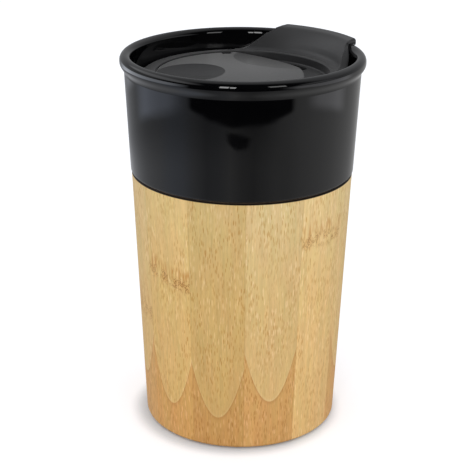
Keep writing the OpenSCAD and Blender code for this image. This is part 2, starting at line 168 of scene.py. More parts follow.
def glaze_outline():
    """The whole cup's outline, from the middle of its foot, over the rim, to its floor inside."""
    def band_r(z):
        return band_foot_r + (neck_r - band_foot_r) * (z - band_z) / (neck_z - band_z)

    neck = [
        (neck_r + (rim_r - neck_r) * ease(j / 16), neck_z + (bead_low_z - neck_z) * j / 16)
        for j in range(17)
    ]
    crown = arc((rim_r - bead_r, cup_h - bead_r), bead_r, 0, 180, 40)
    # The rings close to the band's two ends keep the glaze flat between them.
    low_ring_z, high_ring_z = band_z + 1.3, neck_z - 0.5
    outside = rounded([
        (0, seat_z + foot_ring_h),
        (foot_ring_inner_r - foot_ring_h, seat_z + foot_ring_h),
        (foot_ring_inner_r, seat_z),
        (foot_r, seat_z, 2),
        (liner_r, band_z - 0.4),
        (liner_r, band_z),
        (band_foot_r, band_z, 0.8),
        (band_r(low_ring_z), low_ring_z),
        (band_r(high_ring_z), high_ring_z),
        neck[0],
    ], 8)
    inside = rounded([
        crown[-1],
        (mouth_r, mouth_foot_z, 3),
        (mouth_r, ledge_z, 0.3),
        (throat_r, ledge_z, 0.5),
        (inside_r(throat_foot_z), throat_foot_z),
    ], 8)
    # A point for each millimetre of the shoulder's height, and two more past each of its ends.
    shoulder_top_z = band_z + shoulder_rise + 2
    shoulder = [
        (inside_r(shoulder_top_z - i), shoulder_top_z - i)
        for i in range(shoulder_rise + shoulder_drop + 5)
    ]
    corner_z = floor_z + floor_corner_r
    corner = (inside_r(corner_z) - floor_corner_r, corner_z)
    bottom = arc(corner, floor_corner_r, 0, -90, 12)
    return outside[:-1] + neck + crown + inside[1:] + shoulder + bottom + [(0, floor_z)]


glazed_cup = turned("glazed_cup", glaze_outline())
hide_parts("ceramic_cup")
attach(glazed_cup, "cup")


def linear(red, green, blue):
    """A colour that is read from a picture, 0 to 255, as the linear values of a shader."""
    def one(value):
        value /= 255
        return value / 12.92 if value <= 0.04045 else ((value + 0.055) / 1.055) ** 2.4
    return (one(red), one(green), one(blue), 1)


def new_material(name):
    """A material with a plain Principled BSDF, given with its nodes and its links."""
    material = bpy.data.materials.new(name)
    material.use_nodes = True
    return material, material.node_tree.nodes, material.node_tree.links


def add_node(material, kind, **settings):
    """Adds a node, sets its settings, and its inputs by name where given as a dict."""
    node = material.node_tree.nodes.new(kind)
    inputs = settings.pop("inputs", {})
    for key, value in settings.items():
        setattr(node, key, value)
    for key, value in inputs.items():
        if isinstance(value, bpy.types.NodeSocket):
            material.node_tree.links.new(value, node.inputs[key])
        else:
            node.inputs[key].default_value = value
    return node


def place_in_mm(material, turn=0.0):
    """Object coordinates in millimetres, turned about the upright axis."""
    coordinates = add_node(material, "ShaderNodeTexCoord")
    return add_node(material, "ShaderNodeMapping", inputs={
        "Vector": coordinates.outputs["Object"],
        "Rotation": (0, 0, -turn),
        "Scale": (1 / MM, 1 / MM, 1 / MM),
    }).outputs["Vector"]


def parts_of(material, vector):
    """The X, Y and Z of a vector."""
    return add_node(material, "ShaderNodeSeparateXYZ", inputs={"Vector": vector}).outputs


def ramp(material, value, stops):
    """A colour ramp with (position, colour) stops; a number as colour is a grey."""
    node = add_node(material, "ShaderNodeValToRGB", inputs={"Fac": value})
    elements = node.color_ramp.elements
    while len(elements) < len(stops):
        elements.new(0.5)
    for element, (position, colour) in zip(elements, stops):
        element.position = position
        element.color = colour if isinstance(colour, tuple) else (colour, colour, colour, 1)
    return node.outputs["Color"]


def calculate(material, operation, first, second=0.0, third=0.0):
    return add_node(
        material, "ShaderNodeMath", operation=operation, inputs={0: first, 1: second, 2: third}
    ).outputs["Value"]


def blend_colours(material, share, first, second, way="MIX"):
    """Blends two colours; on this node, inputs 6 and 7 and output 2 are the ones for colours."""
    return add_node(
        material, "ShaderNodeMix", data_type="RGBA", blend_type=way,
        inputs={0: share, 6: first, 7: second},
    ).outputs[2]


def noise(material, vector, scale, detail=2.0, roughness=0.5):
    return add_node(
        material, "ShaderNodeTexNoise",
        inputs={"Vector": vector, "Scale": scale, "Detail": detail, "Roughness": roughness},
    ).outputs["Fac"]


def bump(material, height, strength, distance):
    return add_node(
        material, "ShaderNodeBump",
        inputs={"Height": height, "Strength": strength, "Distance": distance},
    ).outputs["Normal"]


glaze, glaze_nodes, glaze_links = new_material("black_glaze")
glaze_shader = glaze_nodes["Principled BSDF"]
glaze_shader.inputs["IOR"].default_value = 1.5
glaze_place = place_in_mm(glaze)
glaze_cloud = noise(glaze, glaze_place, 0.08, 3)
# A little of the sealant is smeared on the lowest part of the band.
glaze_smear = calculate(
    glaze, "GREATER_THAN", band_z + 0.4,
    calculate(
        glaze, "MULTIPLY_ADD", noise(glaze, glaze_place, 0.3, 2), 0.3,
        parts_of(glaze, glaze_place)["Z"],
    ),
)
glaze_links.new(
    blend_colours(
        glaze, glaze_smear,
        ramp(glaze, glaze_cloud, [(0.3, linear(3, 3, 4)), (0.7, linear(5, 5, 6))]),
        linear(14, 9, 5),
    ),
    glaze_shader.inputs["Base Color"],
)
glaze_links.new(
    blend_colours(
        glaze, glaze_smear,
        ramp(glaze, noise(glaze, glaze_place, 0.5, 4), [(0.3, 0.025), (0.8, 0.045)]),
        (0.7, 0.7, 0.7, 1),
    ),
    glaze_shader.inputs["Roughness"],
)
glaze_links.new(
    calculate(glaze, "MULTIPLY_ADD", glaze_smear, -0.4, 0.5),
    glaze_shader.inputs["Specular IOR Level"],
)
glaze_links.new(
    bump(glaze, noise(glaze, glaze_place, 0.12, 1), 0.05, 0.25 * MM),
    glaze_shader.inputs["Normal"],
)
glazed_cup.data.materials.append(glaze)


# Joint seal
# A thin dark ring of cured sealant between the ceramic band and the top of the bamboo. It stays
# a little behind both faces, so it shows as the dark line under the band.
sealant, sealant_nodes, sealant_links = new_material("dark_sealant")
sealant_shader = sealant_nodes["Principled BSDF"]
sealant_place = place_in_mm(sealant)
sealant_links.new(
    ramp(
        sealant, noise(sealant, sealant_place, 0.35, 4),
        [(0.3, linear(38, 26, 14)), (0.7, linear(66, 45, 24))],
    ),
    sealant_shader.inputs["Base Color"],
)
sealant_shader.inputs["Roughness"].default_value = 0.6
sealant_links.new(
    bump(sealant, noise(sealant, sealant_place, 1.5, 2), 0.4, 0.1 * MM),
    sealant_shader.inputs["Normal"],
)
nodes_of_frame["joint_seal"].material_slots[0].material = sealant


# Bamboo sleeve
# Twelve staves, each glued from a pale outer ply and a more orange inner ply, are glued round
# and turned to a taper. The taper runs out through the glue faces, which leaves the U outlines.
sleeve_h = 99.6
sleeve_top_r = 41.3
sleeve_lean = math.radians(2.5)
sleeve_wall = 6.7
foot_proud = 0.4
foot_round = 1.6
top_chamfer = 0.4
rebate_r = 31.5
feather_t = 0.15
glue_lean = math.radians(1.1)
stave_count = 12
stave_start = math.radians(-132.7)
stave_angle = math.tau / stave_count
ply_shares = [0.77, 0.94, 0.8, 0.81, 0.78, 0.84, 0.94, 0.79, 0.83, 0.79, 0.82, 0.82]
lean_shares = [1, 0, 1.2, 0.9, 1, 1.1, 0, 0.9, 1, 1.1, 1, 0.95]


def sleeve_r(z):
    """Radius of the sleeve's turned outer face."""
    return sleeve_top_r - (sleeve_h - z) * math.tan(sleeve_lean)


def stave_middle(i):
    """Direction of a stave's middle, about the upright axis."""
    return stave_start + (i + 0.5) * stave_angle


def glue_face_r(i):
    """Distance from the axis to a stave's glue face, at the top of the sleeve."""
    return sleeve_top_r - ply_shares[i] * sleeve_wall + feather_t


def cut_by(point, normal):
    """Cuts the mesh along a plane, drops what lies on its normal's side, and closes the cut."""
    bpy.ops.mesh.select_all(action="SELECT")
    bpy.ops.mesh.bisect(
        plane_co=point, plane_no=normal, use_fill=True, clear_outer=True, threshold=0.0005 * MM
    )


def split_ply(blank, name, i, outer):
    """Cuts one ply of a stave from a copy of the turned blank."""
    select_only(blank)
    bpy.ops.object.duplicate()
    ply = bpy.context.object
    ply.name = name
    middle = stave_middle(i)
    first, second = middle - stave_angle / 2, middle + stave_angle / 2
    lean = glue_lean * lean_shares[i]
    face_r = glue_face_r(i) * MM
    face = Vector((face_r * math.cos(middle), face_r * math.sin(middle), sleeve_h * MM))
    outward = Vector((
        math.cos(lean) * math.cos(middle), math.cos(lean) * math.sin(middle), math.sin(lean)
    ))
    bpy.ops.object.mode_set(mode="EDIT")
    cut_by((0, 0, 0), (math.sin(first), -math.cos(first), 0))
    cut_by((0, 0, 0), (-math.sin(second), math.cos(second), 0))
    cut_by(face, -outward if outer else outward)
    bpy.ops.object.mode_set(mode="OBJECT")
    settle(ply, 30)
    return ply


sleeve_blank = turned("sleeve_blank", rounded([
    (rebate_r, seat_z),
    (rebate_r, foot_proud),
    (sleeve_r(foot_proud), foot_proud, foot_round),
    (sleeve_r(sleeve_h - top_chamfer), sleeve_h - top_chamfer),
    (sleeve_r(sleeve_h) - top_chamfer, sleeve_h),
    (sleeve_top_r - sleeve_wall, sleeve_h),
    (sleeve_r(seat_z) - sleeve_wall, seat_z),
    (rebate_r, seat_z),
], 8), 360)

# How light each stave is, how yellow, and its knuckle, if it has one, as the height, the slope,
# half the width, and the strength.
stave_tones = [1.02, 1.085, 1.09, 1.0, 1.03, 0.99, 1.02, 1.0, 1.04, 1.04, 1.03, 0.965]
stave_yellows = [0.5, 0.6, 0.5, 0.7, 0.4, 0.8, 0.6, 0.5, 0.7, 0.6, 1.1, 1.3]
knuckles = {
    1: (82.0, -0.1, 4.0, 0.8),
    4: (37.0, 0.25, 3.0, 1.0),
    6: (66.0, -0.2, 4.0, 0.8),
    9: (48.0, 0.1, 4.5, 0.6),
    10: (66.5, -0.14, 3.4, 1.0),
}


def moved(material, vector, shift):
    return add_node(
        material, "ShaderNodeVectorMath", operation="ADD", inputs={0: vector, 1: shift}
    ).outputs["Vector"]


def stretched(material, vector, stretch):
    return add_node(
        material, "ShaderNodeVectorMath", operation="MULTIPLY", inputs={0: vector, 1: stretch}
    ).outputs["Vector"]


def smooth_step(material, value, low, high, to_low=0.0, to_high=1.0):
    """Goes gently from one level to another while a value goes from low to high."""
    return add_node(
        material, "ShaderNodeMapRange", interpolation_type="SMOOTHSTEP",
        inputs={
            "Value": value, "From Min": low, "From Max": high,
            "To Min": to_low, "To Max": to_high,
        },
    ).outputs["Result"]


def shaded(material, colour, pattern, stops):
    """Darkens, lightens or tints a colour by a pattern's ramp."""
    return blend_colours(material, 1.0, colour, ramp(material, pattern, stops), "MULTIPLY")


def marked(material, colour, mark, strength, tint):
    """Blends a tint into a colour where a pattern marks it."""
    return blend_colours(
        material, calculate(material, "MULTIPLY", mark, strength), colour, tint
    )


def flecks(material, vector, wide, long, reach, share, seed):
    """Short upright dashes, one in each cell, of a strength that differs from cell to cell."""
    cells = add_node(
        material, "ShaderNodeTexVoronoi", feature="F1",
        inputs={
            "Vector": stretched(
                material, moved(material, vector, (seed, seed, seed)),
                (1 / (4 * wide), 1 / wide, 1 / long),
            ),
            "Scale": 1,
        },
    )
    mark = smooth_step(material, cells.outputs["Distance"], 0.5 * reach, reach, 1.0, 0.0)
    own = add_node(
        material, "ShaderNodeSeparateColor", inputs={"Color": cells.outputs["Color"]}
    ).outputs["Red"]
    return calculate(material, "MULTIPLY", mark, smooth_step(material, own, 1 - share, 1.0))


def knuckle(material, place, colour, height, slope, reach, strength):
    """The scar of a growth ring: winding brown lines where the fibres cross each other."""
    parts = parts_of(material, place)
    wander = noise(material, stretched(material, place, (0.1, 0.3, 0.0)), 1, 2)
    level = calculate(
        material, "MULTIPLY_ADD", parts["Y"], -slope,
        calculate(
            material, "MULTIPLY_ADD", wander, -5.0,
            calculate(material, "ADD", parts["Z"], 2.5 - height),
        ),
    )
    zone = smooth_step(
        material, calculate(material, "ABSOLUTE", level), 0.35 * reach, reach, 1.0, 0.0
    )
    patchy = smooth_step(
        material, noise(material, stretched(material, place, (0.1, 0.35, 0.3)), 1, 1), 0.38, 0.55
    )
    zone = calculate(material, "MULTIPLY", zone, patchy)
    winding = noise(material, stretched(material, place, (0.3, 0.85, 0.5)), 1, 2, 0.6)
    lines = smooth_step(
        material,
        calculate(material, "ABSOLUTE", calculate(material, "SUBTRACT", winding, 0.5)),
        0.012, 0.06, 1.0, 0.0,
    )
    above = calculate(
        material, "MULTIPLY", smooth_step(material, level, 0.0, reach),
        smooth_step(material, level, 2.2 * reach, 1.2 * reach),
    )
    strands = smooth_step(
        material, noise(material, stretched(material, place, (0.3, 0.9, 0.07)), 1, 2), 0.48, 0.6
    )
    strands = calculate(material, "MULTIPLY", above, strands)
    lines = calculate(material, "MULTIPLY", zone, lines)
    colour = marked(material, colour, zone, 0.35 * strength, linear(214, 160, 92))
    colour = marked(material, colour, strands, 0.8 * strength, linear(200, 140, 72))
    return marked(material, colour, lines, 0.85 * strength, linear(158, 106, 48))


def toned(i, outer, red, green, blue):
    """A colour in one stave's own tone, and as yellow as the stave is."""
    tone, yellow = stave_tones[i], stave_yellows[i] * (1.0 if outer else 0.5)
    return linear(red * tone, (green - 5 * yellow) * tone, (blue - 14 * yellow) * tone)


def bamboo_grain(material, own, i, outer):
    """Colour of plain bamboo, with the patterns of its fibres and of its dark vessels."""
    if outer:
        pink, straw = toned(i, outer, 226, 193, 139), toned(i, outer, 223, 195, 138)
        dark, light = toned(i, outer, 184, 130, 56), toned(i, outer, 248, 222, 178)
    else:
        pink, straw = toned(i, outer, 218, 171, 111), toned(i, outer, 215, 174, 111)
        dark, light = toned(i, outer, 174, 118, 52), toned(i, outer, 242, 202, 152)
    patches = noise(material, stretched(material, own, (0.1, 0.22, 0.05)), 1, 2)
    colour = ramp(material, patches, [(0.38, pink), (0.62, straw)])
    shade = noise(material, stretched(material, own, (0.15, 0.6, 0.04)), 1, 2)
    colour = shaded(material, colour, shade, [(0.3, 0.93), (0.7, 1.03)])
    fibres = noise(material, stretched(material, own, (0.5, 2.1, 0.13)), 1, 2, 0.6)
    colour = shaded(material, colour, fibres, [(0.25, 0.88), (0.75, 1.07)])
    pale_dash = flecks(material, own, 0.6, 4.2, 0.45, 0.8, 11.0)
    dark_dash = flecks(material, own, 0.44, 3.0, 0.46, 1.0, 3.0)
    colour = marked(material, colour, pale_dash, 0.6, light)
    return marked(material, colour, dark_dash, 0.68, dark), fibres, dark_dash


def glue_marks(material, colour, parts, i, outer):
    """Colours a ply along the glue face and the stave's joints, and the sealant on its top."""
    lean = glue_lean * lean_shares[i]
    from_face = calculate(
        material, "MULTIPLY_ADD", parts["X"], math.cos(lean),
        calculate(
            material, "MULTIPLY_ADD", parts["Z"], math.sin(lean),
            -glue_face_r(i) * math.cos(lean) - sleeve_h * math.sin(lean),
        ),
    )
    if outer:
        rim = smooth_step(material, from_face, 0.04, 0.09, 1.0, 0.0)
        colour = marked(material, colour, rim, 0.28, toned(i, outer, 230, 202, 152))
    else:
        rim = smooth_step(material, from_face, -0.12, -0.02)
        colour = marked(material, colour, rim, 0.38, toned(i, outer, 182, 130, 76))
    across = calculate(
        material, "MULTIPLY",
        calculate(material, "ABSOLUTE", parts["Y"]), math.cos(stave_angle / 2),
    )
    from_joint = calculate(
        material, "SUBTRACT",
        calculate(material, "MULTIPLY", parts["X"], math.sin(stave_angle / 2)), across,
    )
    joint = smooth_step(material, from_joint, 0.03, 0.22, 1.0, 0.0)
    colour = marked(material, colour, joint, 0.2, toned(i, outer, 176, 130, 78))
    smear = smooth_step(material, parts["Z"], sleeve_h - 0.65, sleeve_h - 0.4)
    return blend_colours(material, smear, colour, linear(24, 15, 6))


def bamboo(name, i, outer):
    """Solid bamboo: its fibres and vessels run upright and fill the depth of the stave."""
    material, nodes, links = new_material(name)
    shader = nodes["Principled BSDF"]
    place = place_in_mm(material, stave_middle(i))
    own = moved(material, place, (17.0 * i, 23.0 * i + (7.0 if outer else 0.0), 41.0 * i))
    colour, fibres, dark_dash = bamboo_grain(material, own, i, outer)
    # The sleeve is warmer in colour near its foot and paler near its top.
    parts = parts_of(material, place)
    height_share = calculate(material, "MULTIPLY", parts["Z"], 0.01)
    colour = shaded(material, colour, height_share, [
        (0.1, (1.0, 0.93, 0.86, 1)), (0.6, (1.0, 0.985, 0.95, 1)), (0.95, (1.0, 1.06, 1.15, 1))
    ])
    colour = glue_marks(material, colour, parts, i, outer)
    if outer and i in knuckles:
        colour = knuckle(material, place, colour, *knuckles[i])
    links.new(colour, shader.inputs["Base Color"])
    shader.inputs["Roughness"].default_value = 0.55
    shader.inputs["Specular IOR Level"].default_value = 0.3
    height = calculate(
        material, "SUBTRACT", fibres, calculate(material, "MULTIPLY", dark_dash, 0.6)
    )
    links.new(bump(material, height, 0.25, 0.05 * MM), shader.inputs["Normal"])
    return material


for i in range(stave_count):
    for outer in (True, False):
        kind = "outer" if outer else "inner"
        ply = split_ply(sleeve_blank, f"bamboo_{kind}_{i + 1:02d}", i, outer)
        ply.data.materials.append(bamboo(ply.name, i, outer))
        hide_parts(f"stave_{kind}_{i + 1:02d}")
        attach(ply, "cup")
bpy.data.objects.remove(sleeve_blank)


# Lid moulding
# One injection moulding in matt black polypropylene: the ring that sits on the ledge, the floor
# with its sip slot and vent, and the skirt. The tall curved spout grows out of the ring.
lid_ring_r = 39.3
lid_top_z = 136.8
pocket_r = 32.0
pocket_z = 133.4
underside_z = 131.0
skirt_r = 36.8
skirt_t = 2.4
skirt_z = 121.5
groove_low_z = 124.1
groove_high_z = 128.1
groove_depth = 1.2
slot_middle_r = 27.8
slot_half_w = 2.7
slot_half_angle = 6
vent_place_r = 29.9
vent_angle = 57
vent_r = 0.9
hub_hole_r = 4.55
floor_cut = (129, 136)
spout_root = (38.6, 137.3)
spout_inside_r = 33.1
spout_low_z = 133.3
spout_foot_r = 35.2
spout_foot_z = 136.62
spout_bend = (36.7, 139.9)
spout_crest_angle = 131
spout_cover = 3.5
spout_clear = 2.22
spout_lip_half_t = 1.15
spout_lip_angle = 50.7
spout_half_w = 24.3
spout_half_angle = 50
spout_end_turn = 28
spout_end_lean = 51.5
spout_end_low_z = 136.2
spout_end_top_z = 145.48
spout_corner_r = 14.0
spout_lip_r = 45.0
spout_lip_half_w = 17.8
spout_lip_turn = 8
spout_lip_side_z = 143.6
spout_lip_side_h = 10.8
spout_lip_top_z = 145.42
bound_low_z = 133
bound_side = 60
bound_reach = 80


def extruded(name, outline, start, length):
    """A prism along +X from an outline of (y, z) points in millimetres."""
    piece = drawn(name, outline, across=(0, 1), start=start)
    bpy.ops.mesh.edge_face_add()
    bpy.ops.mesh.extrude_region_move(TRANSFORM_OT_translate={"value": (length * MM, 0, 0)})
    bpy.ops.mesh.select_all(action="SELECT")
    bpy.ops.mesh.normals_make_consistent(inside=False)
    bpy.ops.object.mode_set(mode="OBJECT")
    return piece


def turn_piece(piece, degrees):
    """Turns a piece about the upright axis."""
    piece.matrix_world = Matrix.Rotation(math.radians(degrees), 4, "Z") @ piece.matrix_world
    bpy.context.view_layer.update()


def apply_modifier(piece, kind, **settings):
    """Adds a modifier with its settings, and applies it at once."""
    select_only(piece)
    modifier = piece.modifiers.new(kind.lower(), kind)
    for key, value in settings.items():
        setattr(modifier, key, value)
    bpy.ops.object.modifier_apply(modifier=modifier.name)


def combine(piece, tool, operation):
    """Applies a boolean with a tool piece, which is then used up."""
    apply_modifier(piece, "BOOLEAN", operation=operation, object=tool, solver="EXACT")
    bpy.data.objects.remove(tool)


def on_circle(radius, degrees):
    """A point at an angle on a circle about the axis."""
    turn = math.radians(degrees)
    return radius * math.cos(turn), radius * math.sin(turn)


def drum(name, radius, low, high, place=(0, 0), steps=96):
    """An upright cylinder between two heights."""
    bpy.ops.object.select_all(action="DESELECT")
    bpy.ops.mesh.primitive_cylinder_add(
        vertices=steps, radius=radius * MM, depth=(high - low) * MM,
        location=(place[0] * MM, place[1] * MM, (low + high) / 2 * MM),
    )
    bpy.context.object.name = name
    return bpy.context.object


def spout_outline():
    """The spout's section: up its inner face, over its lip, and down close to the rolled rim."""
    bead = Vector((rim_r - bead_r, cup_h - bead_r))
    way = bead - Vector(spout_root)
    touch = math.degrees(math.atan2(way.y, way.x) + math.asin(spout_clear / way.length)) + 90
    lip_reach = spout_clear + spout_lip_half_t
    lip_way = Vector((
        math.cos(math.radians(spout_lip_angle)), math.sin(math.radians(spout_lip_angle))
    ))
    lip = bead + lip_way * lip_reach
    crown = spout_lip_angle + math.degrees(math.acos((spout_cover - spout_lip_half_t) / lip_reach))
    crest = arc(bead, spout_cover, spout_crest_angle, crown, 8)
    inner = rounded([
        (spout_inside_r, spout_foot_z - 0.02), (spout_foot_r, spout_foot_z, 3.2), spout_bend
    ], 8)
    # The inner face is bowed so that it meets the crest smoothly.
    start = Vector(spout_bend)
    run = Vector(crest[0]) - start
    rise = math.atan2(run.y, run.x) - math.radians(spout_crest_angle - 90)
    side = Vector((-run.y, run.x)).normalized()
    bowed = [
        tuple(start + run * t + side * (run.length * t * (1 - t) * math.tan(rise)))
        for t in (j / 12 for j in range(1, 12))
    ]
    return (
        [(spout_root[0], spout_low_z), (spout_inside_r, spout_low_z)]
        + inner
        + bowed
        + crest
        + arc(lip, spout_lip_half_t, crown, spout_lip_angle - 180, 20)[:-1]
        + arc(bead, spout_clear, spout_lip_angle, touch, 16)
        + [spout_root]
    )


def spout_end(name, side):
    """Space that bounds one end of the spout: a swept foot, a leaning side and a round corner."""
    foot_angle = math.degrees(math.asin(spout_half_w / spout_foot_r))
    foot = spout_foot_r * math.sin(math.radians(foot_angle - spout_end_turn))
    slope = math.tan(math.radians(spout_end_lean))
    foot_edge = foot + (lid_top_z - spout_end_low_z) * slope
    top_edge = foot - (spout_end_top_z - lid_top_z) * slope
    outline = rounded([
        (-bound_side, bound_low_z),
        (bound_side / 2, bound_low_z),
        (bound_side / 2, spout_end_low_z),
        (foot_edge, spout_end_low_z, 9),
        (top_edge, spout_end_top_z, spout_corner_r),
        (-bound_side, spout_end_top_z),
    ], 16)
    piece = extruded(name, [(side * y, z) for y, z in outline], 0, bound_reach)
    turn_piece(piece, side * spout_end_turn)
    return piece


def lip_end(name, side):
    """Space that bounds one end of the lip, which is upright and narrows outwards."""
    lip_angle = math.degrees(math.asin(spout_lip_half_w / spout_lip_r))
    edge = spout_lip_r * math.sin(math.radians(lip_angle + spout_lip_turn))
    slope = math.tan(math.radians(spout_end_lean))
    outline = rounded([
        (-bound_side, bound_low_z),
        (edge + spout_lip_side_h * slope, bound_low_z),
        (edge, spout_lip_side_z, 1.2),
        (edge - 0.2, spout_lip_top_z, 1.2),
        (-bound_side, spout_lip_top_z),
    ], 10)
    piece = extruded(name, [(side * y, z) for y, z in outline], 0, bound_reach)
    turn_piece(piece, -side * spout_lip_turn)
    return piece


def spun_sector(name, outline, first, last, steps):
    """Spins a closed outline of (r, z) points in millimetres through part of a turn."""
    piece = drawn(name, outline)
    bpy.ops.mesh.edge_face_add()
    bpy.ops.mesh.select_all(action="SELECT")
    bpy.ops.mesh.spin(
        steps=steps, angle=math.radians(last - first), center=(0, 0, 0), axis=(0, 0, 1)
    )
    bpy.ops.mesh.select_all(action="SELECT")
    bpy.ops.mesh.normals_make_consistent(inside=False)
    bpy.ops.object.mode_set(mode="OBJECT")
    turn_piece(piece, last)
    return piece


lid_moulding = turned("lid_moulding", rounded([
    (0, underside_z),
    (skirt_r - skirt_t, underside_z, 0.8),
    (skirt_r - skirt_t, skirt_z),
    (skirt_r, skirt_z, 0.6),
    (skirt_r, groove_low_z),
    (skirt_r - groove_depth, groove_low_z),
    (skirt_r - groove_depth, groove_high_z),
    (skirt_r, groove_high_z),
    (skirt_r, ledge_z, 0.3),
    (lid_ring_r, ledge_z, 0.4),
    (lid_ring_r, ledge_z + 1.8, 3),
    (lid_ring_r - 1.2, lid_top_z - 1.7, 3),
    (lid_ring_r - 2.7, lid_top_z - 0.5, 3),
    (pocket_r, lid_top_z, 0.45),
    (pocket_r, pocket_z, 0.6),
    (0, pocket_z),
], 12))
slot_inner_r, slot_outer_r = slot_middle_r - slot_half_w, slot_middle_r + slot_half_w
slot_cutter = spun_sector("slot_cutter", [
    (slot_inner_r, floor_cut[0]),
    (slot_outer_r, floor_cut[0]),
    (slot_outer_r, floor_cut[1]),
    (slot_inner_r, floor_cut[1]),
], -slot_half_angle, slot_half_angle, 24)
for side in (-1, 1):
    combine(slot_cutter, drum(
        "slot_end", slot_half_w, *floor_cut, on_circle(slot_middle_r, slot_half_angle * side)
    ), "UNION")
combine(lid_moulding, slot_cutter, "DIFFERENCE")
combine(lid_moulding, drum(
    "vent_cutter", vent_r, *floor_cut, on_circle(vent_place_r, vent_angle), 32
), "DIFFERENCE")
combine(lid_moulding, drum("hub_cutter", hub_hole_r, *floor_cut), "DIFFERENCE")

spout = spun_sector("spout", spout_outline(), -spout_half_angle, spout_half_angle, 150)
for side in (1, -1):
    combine(spout, spout_end("spout_end", side), "INTERSECT")
    combine(spout, lip_end("lip_end", side), "INTERSECT")
apply_modifier(
    spout, "BEVEL", width=0.3 * MM, segments=3, limit_method="ANGLE",
    angle_limit=math.radians(38), use_clamp_overlap=False,
)
settle(spout, 30)
settle(lid_moulding, 30)
for piece in (lid_moulding, spout):
    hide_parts("lid_body")
    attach(piece, "lid")


def satin_plastic(name, base, roughness, sheen=0.0):
    """Injection-moulded plastic with a fine satin grain, in its own colour all through."""
    material, nodes, links = new_material(name)
    shader = nodes["Principled BSDF"]
    place = place_in_mm(material)
    cloud = noise(material, place, 0.15, 3)
    darker = tuple(value * 0.92 for value in base[:3]) + (1,)
    links.new(
        ramp(material, cloud, [(0.3, darker), (0.7, base)]), shader.inputs["Base Color"]
    )
    wear = noise(material, place, 1.5, 3)
    links.new(
        ramp(material, wear, [(0.3, roughness), (0.7, roughness + 0.06)]),
        shader.inputs["Roughness"],
    )
    grain = noise(material, place, 6, 2)
    links.new(bump(material, grain, 0.15, 0.03 * MM), shader.inputs["Normal"])
    shader.inputs["Specular IOR Level"].default_value = 0.44
    shader.inputs["Sheen Weight"].default_value = sheen
    shader.inputs["Sheen Roughness"].default_value = 0.3
    return material


lid_plastic = satin_plastic("lid_plastic", linear(45, 45, 46), 0.36, 0.15)
for piece in (lid_moulding, spout):
    piece.data.materials.append(lid_plastic)


# Dial
# A turning closure in the same plastic: crowned, with a thumb dish, a hollowed ramp beside it, a
# crescent cut away over the sip slot, and a small notch over the vent. Its hub snaps in the floor.
dial_r = 31.7
dial_z = 133.7
dial_edge_z = 136.3
dial_crown = 1.0
dial_turn = -27.6
crescent_r = 38.2
crescent_x = -16.8
dish_angle = 171
dish_place_r = 21.6
dish_ball_r = 59.3
dish_low_z = 135.35
dish_painted_shade = 0.9
ramp_angle = 37.4
ramp_place_r = 45.8
ramp_ball_r = 330.9
ramp_low_z = 135.1
ramp_painted_shade = 0.42
bowl_h = 5
hub_r = 4.5
hub_neck_r = 3.3
hub_neck_z = 130.7
hub_end_z = 128.9
notch_half_w = 1.9
notch_inner_r = 28.2
notch_reach = 5
notch_low_z = 132
dial_cut_low_z = 120
dial_cut_top_z = 140
seal_seat_r = (23.6, 31.4)
seal_seat_z = (132.7, 134.65)
seal_seat_angle = (89, 176)


def ball_middle(angle, reach, radius, low):
    """Middle of the ball that one of the dial's hollows is part of, in millimetres."""
    return (*on_circle(reach, angle + dial_turn), low + radius)


# The middle and the radius of each hollow's ball, and how much painted shade darkens its plastic.
dish_middle = ball_middle(dish_angle, dish_place_r, dish_ball_r, dish_low_z)
ramp_middle = ball_middle(ramp_angle, ramp_place_r, ramp_ball_r, ramp_low_z)
dial_hollows = {
    "dish": (dish_middle, dish_ball_r, dish_painted_shade),
    "ramp": (ramp_middle, ramp_ball_r, ramp_painted_shade),
}


def bowl(name, middle, radius):
    """A shallow cutter with a ball-shaped bottom."""
    spread = math.degrees(math.acos(1 - bowl_h / radius))
    bottom = arc((0, middle[2]), radius, -90, -90 + spread, 32)
    piece = turned(name, bottom + [(0, bottom[-1][1])], 256)
    piece.location = (middle[0] * MM, middle[1] * MM, 0)
    bpy.context.view_layer.update()
    return piece


def crown_z(r):
    """Height of the dial's crowned top."""
    crown_r = (dial_r ** 2 + dial_crown ** 2) / (2 * dial_crown)
    return dial_edge_z + dial_crown - crown_r + math.sqrt(crown_r ** 2 - r ** 2)


crown_reaches = [dial_r * (1 - j / 24) for j in range(1, 25)]
turning_dial = turned("turning_dial", rounded([
    (0, hub_end_z),
    (hub_neck_r, hub_end_z, 0.3),
    (hub_neck_r, hub_neck_z),
    (hub_r, hub_neck_z),
    (hub_r, dial_z),
    (dial_r, dial_z, 0.3),
    (dial_r, crown_z(dial_r), 0.5),
] + [(r, crown_z(r)) for r in crown_reaches], 8), 256)
crescent_keep = drum(
    "crescent_keep", crescent_r, dial_cut_low_z, dial_cut_top_z, (crescent_x, 0), 360
)
turn_piece(crescent_keep, dial_turn)
combine(turning_dial, crescent_keep, "INTERSECT")
notch_cutter = extruded("notch_cutter", [
    (-notch_half_w, notch_low_z),
    (notch_half_w, notch_low_z),
    (notch_half_w, dial_cut_top_z),
    (-notch_half_w, dial_cut_top_z),
], notch_inner_r, notch_reach)
turn_piece(notch_cutter, vent_angle)
combine(turning_dial, notch_cutter, "DIFFERENCE")
apply_modifier(
    turning_dial, "BEVEL", width=0.4 * MM, segments=4, limit_method="ANGLE",
    angle_limit=math.radians(60),
)
for name, (middle, radius, share) in dial_hollows.items():
    combine(turning_dial, bowl(f"{name}_cutter", middle, radius), "DIFFERENCE")
combine(turning_dial, spun_sector("seal_seat", [
    (seal_seat_r[0], seal_seat_z[0]),
    (seal_seat_r[1], seal_seat_z[0]),
    (seal_seat_r[1], seal_seat_z[1]),
    (seal_seat_r[0], seal_seat_z[1]),
], seal_seat_angle[0] + dial_turn, seal_seat_angle[1] + dial_turn, 48), "DIFFERENCE")


